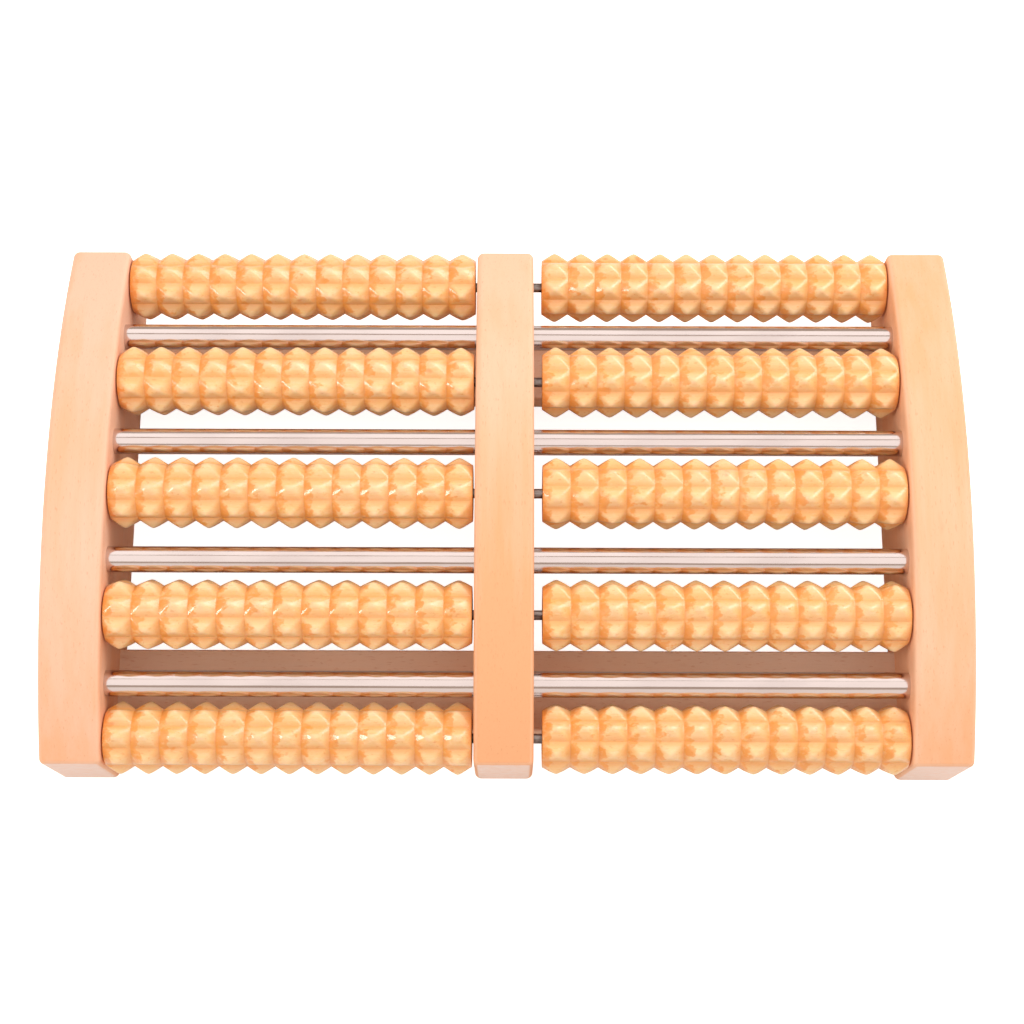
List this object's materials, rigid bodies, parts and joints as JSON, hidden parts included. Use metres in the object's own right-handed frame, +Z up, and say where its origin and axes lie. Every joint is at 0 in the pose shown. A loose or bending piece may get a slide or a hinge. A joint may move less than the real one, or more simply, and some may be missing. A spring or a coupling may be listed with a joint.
{
  "type": "foot massage roller",
  "caption": "Arched wooden frame holding paired rows of carved, freely turning foot rollers with a polished steel tube between rows.",
  "frame": {"origin": "middle of the base, on the floor", "axes": "+X along the rollers to the right, +Y to the rear, +Z up"},
  "size_m": [0.28, 0.1686, 0.0481],
  "materials": {
    "frame_wood": "matte, sanded pale beech",
    "dowel_wood": "matte",
    "roller_wood": "gloss clear lacquer over honey wood",
    "tube_steel": "polished",
    "axle_steel": "drawn, plain"
  },
  "bodies": {
    "frame": {"left_side_rail": "frame_wood", "right_side_rail": "frame_wood", "centre_rail": "frame_wood", "front_crossrail": "frame_wood", "rear_crossrail": "frame_wood", "crossrail_dowels": "dowel_wood", "tie_tube_1": "tube_steel", "tie_tube_2": "tube_steel", "tie_tube_3": "tube_steel", "tie_tube_4": "tube_steel", "axle_1": "axle_steel", "axle_2": "axle_steel", "axle_3": "axle_steel", "axle_4": "axle_steel", "axle_5": "axle_steel"},
    "roller_left_1_body": {"roller_left_1": "roller_wood"},
    "roller_left_2_body": {"roller_left_2": "roller_wood"},
    "roller_left_3_body": {"roller_left_3": "roller_wood"},
    "roller_left_4_body": {"roller_left_4": "roller_wood"},
    "roller_left_5_body": {"roller_left_5": "roller_wood"},
    "roller_right_1_body": {"roller_right_1": "roller_wood"},
    "roller_right_2_body": {"roller_right_2": "roller_wood"},
    "roller_right_3_body": {"roller_right_3": "roller_wood"},
    "roller_right_4_body": {"roller_right_4": "roller_wood"},
    "roller_right_5_body": {"roller_right_5": "roller_wood"}
  },
  "joints": [
    {"name": "spin_left_1", "type": "hinge", "parent": "frame", "child": "roller_left_1_body", "pos_m": [-0.06585, 0.07335, 0.02326], "axis": [1, 0, 0], "continuous": true},
    {"name": "spin_left_2", "type": "hinge", "parent": "frame", "child": "roller_left_2_body", "pos_m": [-0.06585, 0.03733, 0.03369], "axis": [1, 0, 0], "continuous": true},
    {"name": "spin_left_3", "type": "hinge", "parent": "frame", "child": "roller_left_3_body", "pos_m": [-0.06585, 0, 0.0372], "axis": [1, 0, 0], "continuous": true},
    {"name": "spin_left_4", "type": "hinge", "parent": "frame", "child": "roller_left_4_body", "pos_m": [-0.06585, -0.03733, 0.03369], "axis": [1, 0, 0], "continuous": true},
    {"name": "spin_left_5", "type": "hinge", "parent": "frame", "child": "roller_left_5_body", "pos_m": [-0.06585, -0.07335, 0.02326], "axis": [1, 0, 0], "continuous": true},
    {"name": "spin_right_1", "type": "hinge", "parent": "frame", "child": "roller_right_1_body", "pos_m": [0.06585, 0.07335, 0.02326], "axis": [1, 0, 0], "continuous": true},
    {"name": "spin_right_2", "type": "hinge", "parent": "frame", "child": "roller_right_2_body", "pos_m": [0.06585, 0.03733, 0.03369], "axis": [1, 0, 0], "continuous": true},
    {"name": "spin_right_3", "type": "hinge", "parent": "frame", "child": "roller_right_3_body", "pos_m": [0.06585, 0, 0.0372], "axis": [1, 0, 0], "continuous": true},
    {"name": "spin_right_4", "type": "hinge", "parent": "frame", "child": "roller_right_4_body", "pos_m": [0.06585, -0.03733, 0.03369], "axis": [1, 0, 0], "continuous": true},
    {"name": "spin_right_5", "type": "hinge", "parent": "frame", "child": "roller_right_5_body", "pos_m": [0.06585, -0.07335, 0.02326], "axis": [1, 0, 0], "continuous": true}
  ]
}
